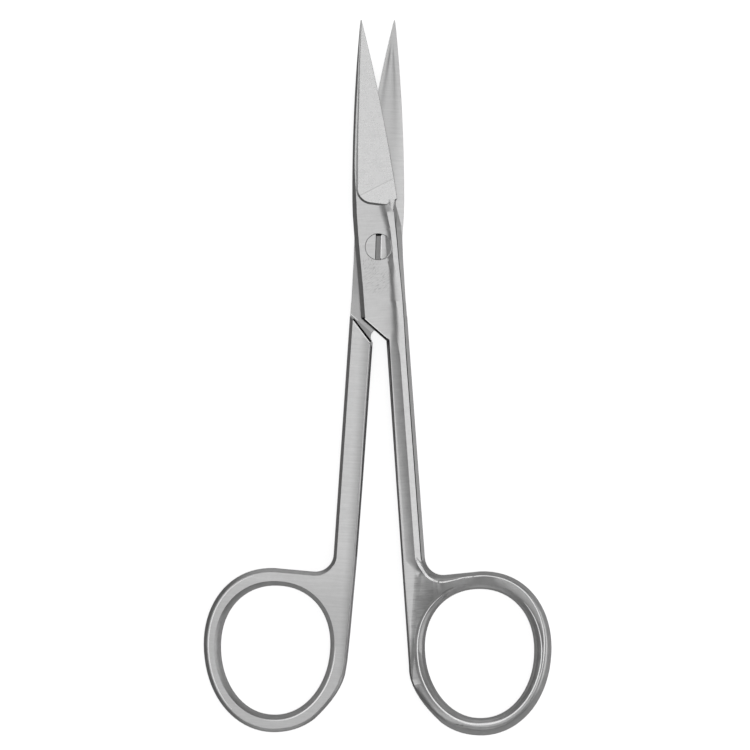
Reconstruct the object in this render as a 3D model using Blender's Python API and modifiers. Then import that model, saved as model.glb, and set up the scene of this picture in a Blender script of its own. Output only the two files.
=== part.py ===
"""Fine scissors with a lap joint and a slotted pivot screw, for Blender 4.5.

Two forged halves of one shape cross at a pivot screw. Each half is a full-thickness shank with
a finger bow, milled down to half thickness at the box, and drawn out to a ground blade.
A half is drawn in its own closed frame: u to the right, v towards the tip, w towards its outer
face, with the pivot at the origin and the plane between the halves at w = 0. The rear half is
the same shape turned over about its length. Sizes are in millimetres and angles in degrees.
"""

import math

import bmesh
import bpy
import numpy as np

MM = 0.001

# Pose
OPEN_ANGLE = 8.1

# Thickness, all on one side of the plane between the halves
BOX_HALF_THICKNESS = 1.95
BOW_HALF_THICKNESS = 1.80
TIP_THICKNESS = 0.62
LAP_GAP = 0.05
BOX_TOP_V = 8.4
SHANK_TAPER_V = -10.0

# Blade
BLADE_LENGTH = 41.1
HEEL_V = 8.45
HEEL_HALF_WIDTH = 4.02
EDGE_BULGE = 0.39
SPINE_HEEL_WIDTH = 4.10
SPINE_TIP_WIDTH = 0.24
SPINE_BULGE = 0.42
TIP_RADIUS = 0.14
TIP_RUN = 1.5
TIP_SHOULDER = 0.55
BAND_SLIMMING = ((0.73, 1.0), (0.85, 0.6), (0.963, 0.2), (1.0, 0.08))
SPINE_BAND_RUN = 6.0

# Ground outer face of the blade
GROUND_HEEL_THICKNESS = 1.50
GROUND_TIP_THICKNESS = 0.50
GROUND_CROSS_TILT = 1.5
GROUND_WALL_TILT = 55.0
HEEL_LINE_V = 7.55
HEEL_LINE_U = 2.0
HEEL_LINE_SLOPE = 11.0
HEEL_LINE_RISE = 24.0
HEEL_FILLET = 2.6
STRIP_AT_HEEL = 1.06
STRIP_AT_MIDDLE = 0.86
STRIP_AT_TIP = 0.25
STRIP_MIDDLE_SHARE = 0.55
GROUND_RUN_OUT = 1.0
GROUND_TIP_WIDTH = -0.6

# Hollow grinding of the inner face
HOLLOW_DEPTH = 0.08
HOLLOW_LAND = 0.45
HOLLOW_START_V = 11.0
HOLLOW_END_V = 37.5
HOLLOW_LIP = 0.02

# Box and shank
BOX_LEFT_U = -4.20
LAP_LEFT_U = -4.06
BACK_U = 4.28
BOX_RIGHT_U = 4.50
LAP_END_V = -12.67
LAP_END_ANGLE = 45.5
SHOULDER_ANGLE = 50.5
SHOULDER_GAP = 0.25
CROTCH_NOTCH_RADIUS = 1.40
CROTCH_NOTCH_U = -1.12
CROTCH_NOTCH_RISE = 0.40
BOX_LEFT_LINE = (
    (BOX_LEFT_U, 6.0),
    (BOX_LEFT_U, 1.0),
    (LAP_LEFT_U - 0.06, -2.5),
    (LAP_LEFT_U, -7.0),
)
BOX_RIGHT_LINE = (
    (BOX_RIGHT_U - 0.13, -2.7, "box_back"),
    (BOX_RIGHT_U, 1.0, "box_back"),
    (BOX_RIGHT_U - 0.04, 3.4, "box_back"),
    (3.93, 6.4, "heel_back"),
    (3.72, 7.3, "heel_back"),
    (3.76, HEEL_V - 0.4, "heel_end"),
)
BACK_BAND_V = -20.0
CROTCH_U = {"front_half": 0.20, "rear_half": -0.16}

# Shank's inner edge, as (share of the way from the crotch to the bow's corner, u)
INNER_LINE = {
    "front_half": ((0.42, 0.13), (0.66, 0.04), (0.78, 0.02), (0.975, -0.03)),
    "rear_half": ((0.42, -0.09), (0.66, 0.0), (0.78, 0.17), (0.89, 0.30), (0.975, 0.48)),
}

# Finger bow: an egg-shaped hole in an oval rim, which the shank's inner edge sweeps into
BOW_U = 13.235
BOW_V = -74.215
BOW_HOLE_HALF_WIDTH = 9.83
BOW_HOLE_HALF_LENGTH = 11.65
BOW_HOLE_EGG = 0.064
BOW_HOLE_TILT = -1.5
BOW_RIM_HALF_WIDTH = 12.445
BOW_RIM_HALF_LENGTH = 14.84
BOW_RIM_SHIFT_U = 0.452
BOW_RIM_SHIFT_V = -0.01
BOW_RIM_TILT = -11.0
BOW_FULLNESS = 2.1
BOW_TOP_V = -59.40
SADDLE_DIP = 0.20
SADDLE_RADIUS = 3.3
BOW_CORNER_U = 0.27
BOW_CORNER_V = -76.7
CORNER_RUN = 8.9
CORNER_SWEEP = 1.75
TOP_RUN = 1.0

# How the bow's bands vary, as (angle round the bow from its far side, share of the inset)
RIM_WIDTHS = ((0, 0.72), (50, 0.50), (90, 0.42), (180, 0.42), (255, 1.0), (300, 0.9), (360, 0.72))
HOLE_WIDTHS = ((0, 0.9), (90, 0.66), (150, 1.0), (195, 1.08), (270, 0.62), (360, 0.9))
HOLE_INNER_WIDTHS = ((0, 1.15), (90, 0.8), (180, 0.68), (270, 0.75), (360, 1.15))
RIM_BLEND = ((198, 0.0), (252, 1.0))

# Hollow of the web between the shank and the hole, which runs out over the top of the bow
DISH_ANGLE = 8.0
DISH_START_U = 2.2
DISH_START_SLOPE = 0.145
DISH_EASING = 1.0
DISH_DEPTH = 0.80
DISH_FOOT = 5.0
DISH_SHOULDER = 2.0
DISH_FADE = ((6.0, 1.0), (13.0, 0.42), (20.0, 0.12))
BOW_SETTING = {"front_half": (-0.34, -0.33), "rear_half": (0.34, 0.33)}

# Pivot screw
SCREW_HEAD_RADIUS = 2.35
SCREW_HEAD_HEIGHT = 0.90
SCREW_SHOULDER_RADIUS = 1.60
SCREW_THREAD_RADIUS = 1.30
RUNNING_CLEARANCE = 0.05
THREAD_CLEARANCE = 0.03
SHOULDER_SEAT_GAP = 0.02
SLOT_WIDTH = 0.80
SLOT_DEPTH = 0.45
SLOT_FLARE = 0.12
SLOT_LEAN = 2.0

# Edge bands. Each is steps of (inset from the silhouette, drop below the outer face), then
# steps of the same on the inner face, all at full thickness. The hole's band ends in a crest.
BANDS = {
    "box_back": (
        ((1.00, 1.52), (1.14, 0.88), (2.08, 0.26), (3.15, 0.0)),
        ((0.04, 0.42), (0.30, 0.20), (0.56, 0.0)),
    ),
    "back": (
        ((0.62, 1.45), (0.76, 0.94), (1.80, 0.28), (3.40, 0.0)),
        ((0.04, 0.42), (0.30, 0.20), (0.56, 0.0)),
    ),
    "taper_back": (
        ((1.02, 1.50), (1.20, 0.94), (2.38, 0.28), (3.65, 0.0)),
        ((0.04, 0.42), (0.30, 0.20), (0.56, 0.0)),
    ),
    "heel_back": (
        ((0.45, 1.35), (0.69, 0.84), (1.97, 0.30), (3.30, 0.0)),
        ((0.04, 0.42), (0.30, 0.20), (0.56, 0.0)),
    ),
    "heel_end": (
        ((0.30, 1.35), (0.42, 0.95), (1.70, 0.42), (3.00, 0.0)),
        ((0.04, 0.42), (0.30, 0.20), (0.56, 0.0)),
    ),
    "left": (
        ((0.02, 0.50), (0.24, 0.34), (0.48, 0.17), (0.74, 0.0)),
        ((0.06, 0.60), (0.30, 0.30), (0.60, 0.0)),
    ),
    "spine": (
        ((0.02, 0.26), (0.14, 0.17), (0.26, 0.08), (0.38, 0.0)),
        ((0.03, 0.30), (0.10, 0.15), (0.20, 0.0)),
    ),
    "edge": (
        ((0.02, 1.00), (0.04, 0.24), (0.06, 0.12), (0.08, 0.0)),
        ((0.02, 0.30), (0.05, 0.15), (0.10, 0.0)),
    ),
    "lap_end": (
        ((0.12, 0.85), (0.20, 0.50), (0.26, 0.26), (0.32, 0.0)),
        ((0.0, 0.60), (0.0, 0.30), (0.0, 0.0)),
    ),
    "inner": (
        ((0.02, 0.26), (0.12, 0.17), (0.22, 0.08), (0.32, 0.0)),
        ((0.12, 0.50), (0.35, 0.14), (0.72, 0.0)),
    ),
    "rim": (
        ((0.30, 1.25), (0.92, 0.40), (1.30, 0.10), (1.72, 0.0)),
        ((0.05, 0.50), (0.38, 0.25), (0.74, 0.0)),
    ),
    "hole": (
        ((0.18, 1.15), (0.58, 0.36), (1.20, 0.13), (1.46, 0.11), (1.86, 0.0)),
        ((0.30, 0.95), (0.75, 0.40), (1.10, 0.0)),
    ),
}
SPINE_POINTS = 18
RIM_POINTS = 80
HOLE_POINTS = 72
CORNER_POINTS = 8
SADDLE_POINTS = 9
HEEL_FILLET_POINTS = 8
TURN_STEPS = 64
OVERCUT = 1.0
FLAT_NORMAL = 0.999
SHARP_TURN = 0.6
MITRE_LIMIT = 0.6
SMOOTH_ANGLE = 24.0

STEEL = (0.66, 0.67, 0.68, 1.0)
SCREW_STEEL = (0.62, 0.63, 0.64, 1.0)


def clear_scene():
    for item in list(bpy.data.objects):
        bpy.data.objects.remove(item, do_unlink=True)


def new_collection(name):
    collection = bpy.data.collections.new(name)
    bpy.context.scene.collection.children.link(collection)
    return collection


def new_material(name, color, roughness):
    material = bpy.data.materials.new(name)
    material.use_nodes = True
    surface = material.node_tree.nodes["Principled BSDF"]
    surface.inputs["Base Color"].default_value = color
    surface.inputs["Roughness"].default_value = roughness
    surface.inputs["Metallic"].default_value = 1.0
    return material


def new_object(name, bm, collection):
    """Turn a bmesh in millimetres into an object in metres."""
    bmesh.ops.scale(bm, vec=(MM, MM, MM), verts=bm.verts)
    bmesh.ops.recalc_face_normals(bm, faces=bm.faces)
    mesh = bpy.data.meshes.new(name)
    bm.to_mesh(mesh)
    bm.free()
    item = bpy.data.objects.new(name, mesh)
    collection.objects.link(item)
    return item


def shallow_arc(v, heel_width, tip_width, bulge):
    """A side of the blade from its heel to its point, as a distance from the axis."""
    share = (v - HEEL_V) / (BLADE_LENGTH - HEEL_V)
    return heel_width + (tip_width - heel_width) * share + 4.0 * bulge * share * (1.0 - share)


def edge_width(v):
    return shallow_arc(v, HEEL_HALF_WIDTH, 0.0, EDGE_BULGE)


def spine_width(v):
    return shallow_arc(v, SPINE_HEEL_WIDTH, SPINE_TIP_WIDTH, SPINE_BULGE)


def half_thickness(v):
    """Outer face's height over the length of a half."""
    return np.interp(
        v,
        [BOW_TOP_V, SHANK_TAPER_V, BOX_TOP_V, BLADE_LENGTH],
        [BOW_HALF_THICKNESS, BOX_HALF_THICKNESS, BOX_HALF_THICKNESS, TIP_THICKNESS],
    )


def band(name, scale=1.0):
    """A band style as an array of (inset, drop), outer steps first, with its insets scaled."""
    outer, inner = BANDS[name]
    return np.array(outer + inner) * np.array([scale, 1.0])


def slimness(v):
    """How much the bands narrow towards the point."""
    shares, scales = zip(*BAND_SLIMMING)
    return float(np.interp(v / BLADE_LENGTH, shares, scales))


def share_at(table, place):
    """Read a table of (place, share) pairs."""
    places, shares = zip(*table)
    return float(np.interp(place, places, shares))


def round_bow(centre, u, v):
    """Angle round the bow, from its far side over its top."""
    return math.degrees(math.atan2(v - centre[1], u - centre[0])) % 360.0


def widened(name, outer_share, inner_share):
    """A band with the insets of its outer steps and of its inner steps scaled apart."""
    outer, inner = BANDS[name]
    shares = [outer_share] * len(outer) + [inner_share] * len(inner)
    return band(name) * np.array([[share, 1.0] for share in shares])


def rim_band(centre, u, v):
    """The rim's band at a point, which grows out of the shank's inner edge below the corner."""
    angle = round_bow(centre, u, v)
    rim = widened("rim", share_at(RIM_WIDTHS, angle), 1.0)
    if angle < 180.0:
        return rim
    return band("inner") + (rim - band("inner")) * share_at(RIM_BLEND, angle)


def oval(centre, half_width, half_length, egg, tilt, angle):
    """A point on an oval a little fuller than an ellipse, and wider at its top by its egg share."""
    power = 2.0 / BOW_FULLNESS
    x = half_width * math.copysign(abs(math.cos(angle)) ** power, math.cos(angle))
    y = half_length * math.copysign(abs(math.sin(angle)) ** power, math.sin(angle))
    x *= 1.0 + egg * y / half_length
    turn = math.radians(tilt)
    return (
        centre[0] + x * math.cos(turn) - y * math.sin(turn),
        centre[1] + x * math.sin(turn) + y * math.cos(turn),
    )


def lap_end_v(u):
    """The lap's lower end, a slanted line from the left side to the crotch."""
    return LAP_END_V - (u - LAP_LEFT_U) * math.tan(math.radians(LAP_END_ANGLE))


def blade_outline():
    """From the cutting edge's heel round the tip and down the spine, anticlockwise."""
    last = BLADE_LENGTH - TIP_RUN
    stations = [HEEL_V + (last - HEEL_V) * i / SPINE_POINTS for i in range(SPINE_POINTS + 1)]
    stations.append(BLADE_LENGTH - TIP_SHOULDER)
    points = []
    for v in stations:
        points.append((edge_width(v), v, band("edge", slimness(v))))
    point_style = band("spine", slimness(BLADE_LENGTH))
    middle = -SPINE_TIP_WIDTH / 2.0
    points.append((middle + TIP_RADIUS / 2.0, BLADE_LENGTH, point_style))
    points.append((middle - TIP_RADIUS / 2.0, BLADE_LENGTH, point_style))
    for v in reversed(stations):
        share = min(1.0, (v - HEEL_V) / SPINE_BAND_RUN)
        style = band("spine", slimness(v)) * share + band("left") * (1.0 - share)
        points.append((-spine_width(v), v, style))
    return points


def bow_corner(name):
    """Where the shank's inner edge starts to sweep into the rim."""
    shift_u, shift_v = BOW_SETTING[name]
    return BOW_CORNER_U + shift_u, BOW_CORNER_V + shift_v


def rim_outline(name):
    """From the shank's inner edge round the bow's rim to the foot of the saddle."""
    shift_u, shift_v = BOW_SETTING[name]
    centre = (BOW_U + BOW_RIM_SHIFT_U + shift_u, BOW_V + BOW_RIM_SHIFT_V + shift_v)
    corner_u, corner_v = bow_corner(name)
    rim = []
    for i in range(RIM_POINTS):
        angle = math.pi + 2.0 * math.pi * i / RIM_POINTS
        u, v = oval(centre, BOW_RIM_HALF_WIDTH, BOW_RIM_HALF_LENGTH, 0.0, BOW_RIM_TILT, angle)
        below_corner = v < corner_v - CORNER_RUN
        right_of_top = u > centre[0] - TOP_RUN
        if below_corner or right_of_top:
            rim.append((u, v, rim_band(centre, u, v)))
    points = []
    for i in range(CORNER_POINTS):
        share = i / CORNER_POINTS
        u = corner_u + (rim[0][0] - corner_u) * share**CORNER_SWEEP
        v = corner_v + (rim[0][1] - corner_v) * share
        points.append((u, v, rim_band(centre, u, v)))
    return points + rim


def saddle_outline(name):
    """The fillet between the bow and the shank's outer edge."""
    foot_v = BOW_TOP_V + BOW_SETTING[name][1] - SADDLE_DIP
    centre = (BACK_U + SADDLE_RADIUS, foot_v + SADDLE_RADIUS)
    rim = widened("rim", share_at(RIM_WIDTHS, 90), 1.0)
    points = []
    for i in range(SADDLE_POINTS + 1):
        share = i / SADDLE_POINTS
        angle = math.radians(270.0 - 90.0 * share)
        style = rim + (band("back") - rim) * share * share
        u = centre[0] + SADDLE_RADIUS * math.cos(angle)
        v = centre[1] + SADDLE_RADIUS * math.sin(angle)
        points.append((u, v, style))
    return points


def half_outline(name):
    """The forging's outline as (u, v, style before, style after), anticlockwise."""
    left = band("left")
    flat_cut = band("lap_end")
    inner = band("inner")
    crotch_v = lap_end_v(CROTCH_U[name])
    inner_run = bow_corner(name)[1] - crotch_v

    smooth = blade_outline()
    smooth += [(*point, left) for point in BOX_LEFT_LINE]
    points = [(u, v, style, style) for u, v, style in smooth]
    points.append((LAP_LEFT_U, LAP_END_V, left, flat_cut))
    points.append((CROTCH_U[name], crotch_v, flat_cut, inner))

    smooth = [(u, crotch_v + share * inner_run, inner) for share, u in INNER_LINE[name]]
    smooth += rim_outline(name)
    smooth += saddle_outline(name)
    smooth.append((BACK_U, BACK_BAND_V, band("back")))
    smooth.append((BACK_U, SHANK_TAPER_V, band("taper_back")))
    smooth += [(u, v, band(style)) for u, v, style in BOX_RIGHT_LINE]
    points += [(u, v, style, style) for u, v, style in smooth]
    return points


def hole_outline(name):
    """The finger hole's edge, clockwise so that the metal lies to its left."""
    shift_u, shift_v = BOW_SETTING[name]
    centre = (BOW_U + shift_u, BOW_V + shift_v)
    points = []
    for i in range(HOLE_POINTS):
        angle = -2.0 * math.pi * i / HOLE_POINTS
        size = (BOW_HOLE_HALF_WIDTH, BOW_HOLE_HALF_LENGTH)
        u, v = oval(centre, *size, BOW_HOLE_EGG, BOW_HOLE_TILT, angle)
        place = round_bow(centre, u, v)
        style = widened("hole", share_at(HOLE_WIDTHS, place), share_at(HOLE_INNER_WIDTHS, place))
        points.append((u, v, style, style))
    return points


def inset_points(outline, step):
    """Move each point of an outline into the metal by its own band's inset."""
    count = len(outline)
    place = np.array([point[:2] for point in outline])
    result = []
    for i, (u, v, before, after) in enumerate(outline):
        arriving = place[i] - place[i - 1]
        leaving = place[(i + 1) % count] - place[i]
        normals = []
        for run in (arriving, leaving):
            normals.append(np.array([-run[1], run[0]]) / np.hypot(*run))
        insets = np.array([before[step][0], after[step][0]])
        turn = normals[0][0] * normals[1][1] - normals[0][1] * normals[1][0]
        if abs(turn) > SHARP_TURN:
            move = np.linalg.solve(np.array(normals), insets)
        else:
            middle = normals[0] + normals[1]
            middle /= np.hypot(*middle)
            move = middle * insets.mean() / max(MITRE_LIMIT, float(middle @ normals[0]))
        result.append((u + move[0], v + move[1], before[step][1]))
    return result


def loop_of(bm, points):
    verts = [bm.verts.new(point) for point in points]
    edges = [bm.edges.new((verts[i - 1], verts[i])) for i in range(len(verts))]
    return verts, edges


def skin(bm, outline, style):
    """Wrap the bands round an outline; return the edges of its outer and inner faces."""
    top = BOX_HALF_THICKNESS
    outer, inner = BANDS[style]
    rings = [[(u, v, 0.0) for u, v, _, _ in outline]]
    for step in range(len(outer)):
        rings.append([(u, v, top - drop) for u, v, drop in inset_points(outline, step)])
    for step in range(len(outer), len(outer) + len(inner)):
        rings.insert(0, [(u, v, drop - top) for u, v, drop in inset_points(outline, step)])
    loops = [loop_of(bm, ring) for ring in rings]
    for (low, _), (high, _) in zip(loops, loops[1:]):
        for i in range(len(low)):
            bm.faces.new((low[i - 1], low[i], high[i], high[i - 1]))
    return loops[0][1], loops[-1][1]


def bow_dish(u, v):
    """How far the outer face falls away from the shank's flat towards the hole."""
    across = max(0.0, u - DISH_START_U - DISH_START_SLOPE * (v - BOW_TOP_V))
    eased = across * min(1.0, across / DISH_EASING)
    fall = min(eased * math.tan(math.radians(DISH_ANGLE)), DISH_DEPTH)
    along = float(np.interp(v, [BOW_V - DISH_FOOT, BOW_V + DISH_SHOULDER], [0.0, 1.0]))
    return fall * along * share_at(DISH_FADE, u)


def bisect(bm, faces, point, normal):
    """Add an edge where a plane crosses some faces."""
    bm.normal_update()
    parts = {part for face in faces for part in (face, *face.edges, *face.verts)}
    bmesh.ops.bisect_plane(bm, geom=list(parts), plane_co=point, plane_no=normal)


def is_outer_flat(face):
    return abs(face.normal.z) > FLAT_NORMAL and face.calc_center_median().z > 0.0


def is_of_bands(vert, outline):
    """Whether a vertex is one of the outline's, or splits an edge of its bands."""
    bands = [face for face in vert.link_faces if abs(face.normal.z) <= FLAT_NORMAL]
    return vert in outline or any(other in outline for face in bands for other in face.verts)


def forging(name, collection):
    """The half before milling and grinding."""
    bm = bmesh.new()
    inner_edge, outer_edge = skin(bm, half_outline(name), "back")
    outline = set(bm.verts)
    inner_hole, outer_hole = skin(bm, hole_outline(name), "hole")
    bmesh.ops.triangle_fill(bm, edges=inner_edge + inner_hole, use_beauty=True)
    bmesh.ops.triangle_fill(bm, edges=outer_edge + outer_hole, use_beauty=True)
    hole = set(bm.verts) - outline
    for v in (BOX_TOP_V, SHANK_TAPER_V, BOW_TOP_V):
        bisect(bm, bm.faces[:], (0, v, 0), (0, 1, 0))
    outline = set(bm.verts) - hole
    for step in (0.0, 0.5, 1.0):
        flats = [face for face in bm.faces if is_outer_flat(face)]
        start = (DISH_START_U + step * DISH_EASING, BOW_TOP_V, 0)
        bisect(bm, flats, start, (1, -DISH_START_SLOPE, 0))
    undished = {vert for vert in bm.verts if is_of_bands(vert, outline)}
    for vert in bm.verts:
        u, v, w = vert.co
        share = half_thickness(v) / BOX_HALF_THICKNESS
        if w > 0.0 and vert not in undished:
            share -= bow_dish(u, v) / BOX_HALF_THICKNESS
        vert.co.z = w * float(share)
    item = new_object(name, bm, collection)
    item.data.shade_smooth()
    item.data.set_sharp_from_angle(angle=math.radians(SMOOTH_ANGLE))
    return item


def prism_cutter(name, low, high, collection):
    """A cutter between two loops with as many points each."""
    bm = bmesh.new()
    floor = [bm.verts.new(point) for point in low]
    roof = [bm.verts.new(point) for point in high]
    for i in range(len(floor)):
        bm.faces.new((floor[i - 1], floor[i], roof[i], roof[i - 1]))
    bm.faces.new(floor)
    bm.faces.new(roof)
    bmesh.ops.triangulate(bm, faces=[face for face in bm.faces if len(face.verts) > 4])
    return new_object(name, bm, collection)


def lap_cutter(collection):
    """A block that mills the inner side away down to the slanted shoulder."""
    angle = math.radians(SHOULDER_ANGLE)
    reach = BLADE_LENGTH + BACK_U
    size = reach + reach
    bm = bmesh.new()
    bmesh.ops.create_cube(bm, size=size)
    for vert in bm.verts:
        vert.co.y += size / 2.0
        vert.co.z += LAP_GAP / 2.0 - size / 2.0
    item = new_object("lap_cutter", bm, collection)
    turned_over = (-LAP_LEFT_U, LAP_END_V - SHOULDER_GAP / math.cos(angle))
    item.location = (turned_over[0] * MM, turned_over[1] * MM, 0.0)
    item.rotation_euler.z = angle
    return item


def ground_height(u, v):
    """The ground face's plane, falling to the tip and to the cutting edge."""
    fall_along = (GROUND_HEEL_THICKNESS - GROUND_TIP_THICKNESS) / (BLADE_LENGTH - HEEL_V)
    fall_across = math.tan(math.radians(GROUND_CROSS_TILT))
    along = fall_along - fall_across * HEEL_HALF_WIDTH / (BLADE_LENGTH - HEEL_V)
    height = GROUND_HEEL_THICKNESS - along * (v - HEEL_V)
    return height - fall_across * (u + HEEL_HALF_WIDTH)


def strip_width(v):
    """Width of the unground strip along the spine."""
    middle = HEEL_V + STRIP_MIDDLE_SHARE * (BLADE_LENGTH - HEEL_V)
    widths = [STRIP_AT_HEEL, STRIP_AT_MIDDLE, STRIP_AT_TIP]
    return float(np.interp(v, [HEEL_V, middle, BLADE_LENGTH], widths))


def heel_line():
    """The lower end of the ground face: a slanted line with a filleted corner, then a rise."""
    fillet_top = HEEL_LINE_V + HEEL_FILLET
    left = strip_width(fillet_top) - spine_width(fillet_top)
    slope = math.radians(HEEL_LINE_SLOPE)
    centre_u = left + HEEL_FILLET
    floor_v = HEEL_LINE_V + (HEEL_LINE_U - centre_u) * math.tan(slope)
    centre_v = floor_v + HEEL_FILLET / math.cos(slope)
    points = []
    for i in range(HEEL_FILLET_POINTS + 1):
        angle = math.radians(180.0 + (90.0 - HEEL_LINE_SLOPE) * i / HEEL_FILLET_POINTS)
        u = centre_u + HEEL_FILLET * math.cos(angle)
        v = centre_v + HEEL_FILLET * math.sin(angle)
        points.append((u, v))
    points.append((HEEL_LINE_U, HEEL_LINE_V))
    end_u = BACK_U + OVERCUT
    rise = (end_u - HEEL_LINE_U) * math.tan(math.radians(HEEL_LINE_RISE))
    points.append((end_u, HEEL_LINE_V + rise))
    return points


def ground_cutter(collection):
    """Grinds the blade's outer face, leaving a sloped wall at its heel and along the spine."""
    tip_v = BLADE_LENGTH + 2.0 * OVERCUT
    line = heel_line()
    plan = []
    for i in range(SPINE_POINTS + 1):
        v = tip_v + (line[0][1] + GROUND_RUN_OUT - tip_v) * i / SPINE_POINTS
        u = strip_width(v) - max(spine_width(v), GROUND_TIP_WIDTH)
        plan.append((u, v))
    plan += line
    plan.append((BACK_U + OVERCUT, tip_v))
    low = [(u, v, ground_height(u, v)) for u, v in plan]
    rise = BOX_HALF_THICKNESS
    spread = rise / math.tan(math.radians(GROUND_WALL_TILT))
    style = np.array([[-spread, 0.0]])
    moved = inset_points([(u, v, style, style) for u, v in plan], 0)
    high = [(m[0], m[1], point[2] + rise) for m, point in zip(moved, low)]
    return prism_cutter("ground_cutter", low, high, collection)


def hollow_cutter(collection):
    """Hollow grinding of the inner face, between two flat lands."""
    rows = 10
    columns = 6
    bm = bmesh.new()
    grid = []
    for i in range(rows + 1):
        share = i / rows
        v = HOLLOW_START_V + (HOLLOW_END_V - HOLLOW_START_V) * share
        reach = edge_width(v) - HOLLOW_LAND
        swell = HOLLOW_DEPTH * math.sin(math.pi * share) ** 0.5
        row = []
        for j in range(columns + 1):
            across = 2.0 * j / columns - 1.0
            w = LAP_GAP / 2.0 - HOLLOW_LIP + (HOLLOW_LIP + swell) * (1.0 - across * across)
            row.append(bm.verts.new((across * reach, v, w)))
        grid.append(row)
    for low, high in zip(grid, grid[1:]):
        for j in range(columns):
            bm.faces.new((low[j], low[j + 1], high[j + 1], high[j]))
    border = [edge for edge in bm.edges if edge.is_boundary]
    walls = bmesh.ops.extrude_edge_only(bm, edges=border)["geom"]
    moved = [item for item in walls if isinstance(item, bmesh.types.BMVert)]
    for vert in moved:
        vert.co.z = -BOX_HALF_THICKNESS
    rim = [item for item in walls if isinstance(item, bmesh.types.BMEdge)]
    bmesh.ops.contextual_create(bm, geom=[edge for edge in rim if edge.is_boundary])
    return new_object("hollow_cutter", bm, collection)


def turned(name, profile, collection):
    """A turned solid from (radius, height) pairs that run from the top down the outside."""
    bm = bmesh.new()
    verts = [bm.verts.new((radius, 0.0, height)) for radius, height in profile]
    for above, below in zip(verts, verts[1:]):
        bm.edges.new((above, below))
    bmesh.ops.scale(bm, vec=(MM, MM, MM), verts=bm.verts)
    mesh = bpy.data.meshes.new(name)
    bm.to_mesh(mesh)
    bm.free()
    item = bpy.data.objects.new(name, mesh)
    collection.objects.link(item)
    screw = item.modifiers.new("turn", "SCREW")
    screw.steps = TURN_STEPS
    screw.render_steps = TURN_STEPS
    screw.use_merge_vertices = True
    screw.merge_threshold = 0.00001
    screw.use_smooth_shade = False
    return item


def clearance_bore(collection):
    """The front half's bore and counterbore, a running clearance round the screw."""
    head = SCREW_HEAD_RADIUS + RUNNING_CLEARANCE
    bore = SCREW_SHOULDER_RADIUS + RUNNING_CLEARANCE
    top = BOX_HALF_THICKNESS + OVERCUT
    floor = BOX_HALF_THICKNESS - SCREW_HEAD_HEIGHT - RUNNING_CLEARANCE
    profile = [(0.0, top), (head, top), (head, floor), (bore, floor), (bore, -OVERCUT)]
    return turned("clearance_bore", profile + [(0.0, -OVERCUT)], collection)


def threaded_bore(collection):
    """The rear half's hole for the screw's thread."""
    radius = SCREW_THREAD_RADIUS + THREAD_CLEARANCE
    top = BOX_HALF_THICKNESS + OVERCUT
    profile = [(0.0, top), (radius, top), (radius, -OVERCUT), (0.0, -OVERCUT)]
    return turned("threaded_bore", profile, collection)


def crotch_notch(collection):
    """A round file notch where the rear half's lap meets its shank."""
    bm = bmesh.new()
    bmesh.ops.create_cone(
        bm,
        cap_ends=True,
        segments=TURN_STEPS,
        radius1=CROTCH_NOTCH_RADIUS,
        radius2=CROTCH_NOTCH_RADIUS,
        depth=4.0 * BOX_HALF_THICKNESS,
    )
    item = new_object("crotch_notch", bm, collection)
    notch_v = lap_end_v(CROTCH_U["rear_half"]) + CROTCH_NOTCH_RISE
    item.location = (CROTCH_NOTCH_U * MM, notch_v * MM, 0.0)
    return item


def cut(item, cutter):
    boolean = item.modifiers.new(cutter.name, "BOOLEAN")
    boolean.operation = "DIFFERENCE"
    boolean.solver = "EXACT"
    boolean.object = cutter
    cutter.hide_render = True
    cutter.display_type = "WIRE"


def hang(cutter, holder):
    """Keep a cutter with the half that it cuts."""
    cutter.parent = holder


def make_half(name, own_tools, parts, cutters):
    """A half in its own frame, ground and milled, with its pivot at the origin."""
    item = forging(name, parts)
    tools = [lap_cutter(cutters), hollow_cutter(cutters), ground_cutter(cutters)]
    for tool in tools + own_tools:
        hang(tool, item)
        cut(item, tool)
    return item


def screw_slot(collection):
    """The driver slot's shape, a little wider at the top."""
    half = SLOT_WIDTH / 2.0
    reach = SCREW_HEAD_RADIUS + OVERCUT
    floor = BOX_HALF_THICKNESS - SLOT_DEPTH
    top = BOX_HALF_THICKNESS + OVERCUT
    flare = half + SLOT_FLARE * (top - floor) / SLOT_DEPTH
    low = [(-half, -reach, floor), (half, -reach, floor), (half, reach, floor), (-half, reach, floor)]
    high = [(-flare, -reach, top), (flare, -reach, top), (flare, reach, top), (-flare, reach, top)]
    item = prism_cutter("screw_slot", low, high, collection)
    item.rotation_euler.z = -math.radians(SLOT_LEAN)
    return item


def head_grinding(collection):
    """Grinds the screw's head flush with the roll-off beside the box's flat."""
    outer = BANDS["box_back"][0]
    chamfer, flat = outer[2], outer[3]
    start = BOX_RIGHT_U - flat[0]
    slope = math.atan2(chamfer[1], flat[0] - chamfer[0])
    bm = bmesh.new()
    size = 4.0 * SCREW_HEAD_RADIUS
    bmesh.ops.create_cube(bm, size=size)
    for vert in bm.verts:
        vert.co.z += size / 2.0
    item = new_object("head_grinding", bm, collection)
    lean = math.radians(OPEN_ANGLE / 2.0)
    item.location = (
        start * math.cos(lean) * MM,
        start * math.sin(lean) * MM,
        BOX_HALF_THICKNESS * MM,
    )
    item.rotation_euler = (0.0, slope, lean)
    return item


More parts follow.
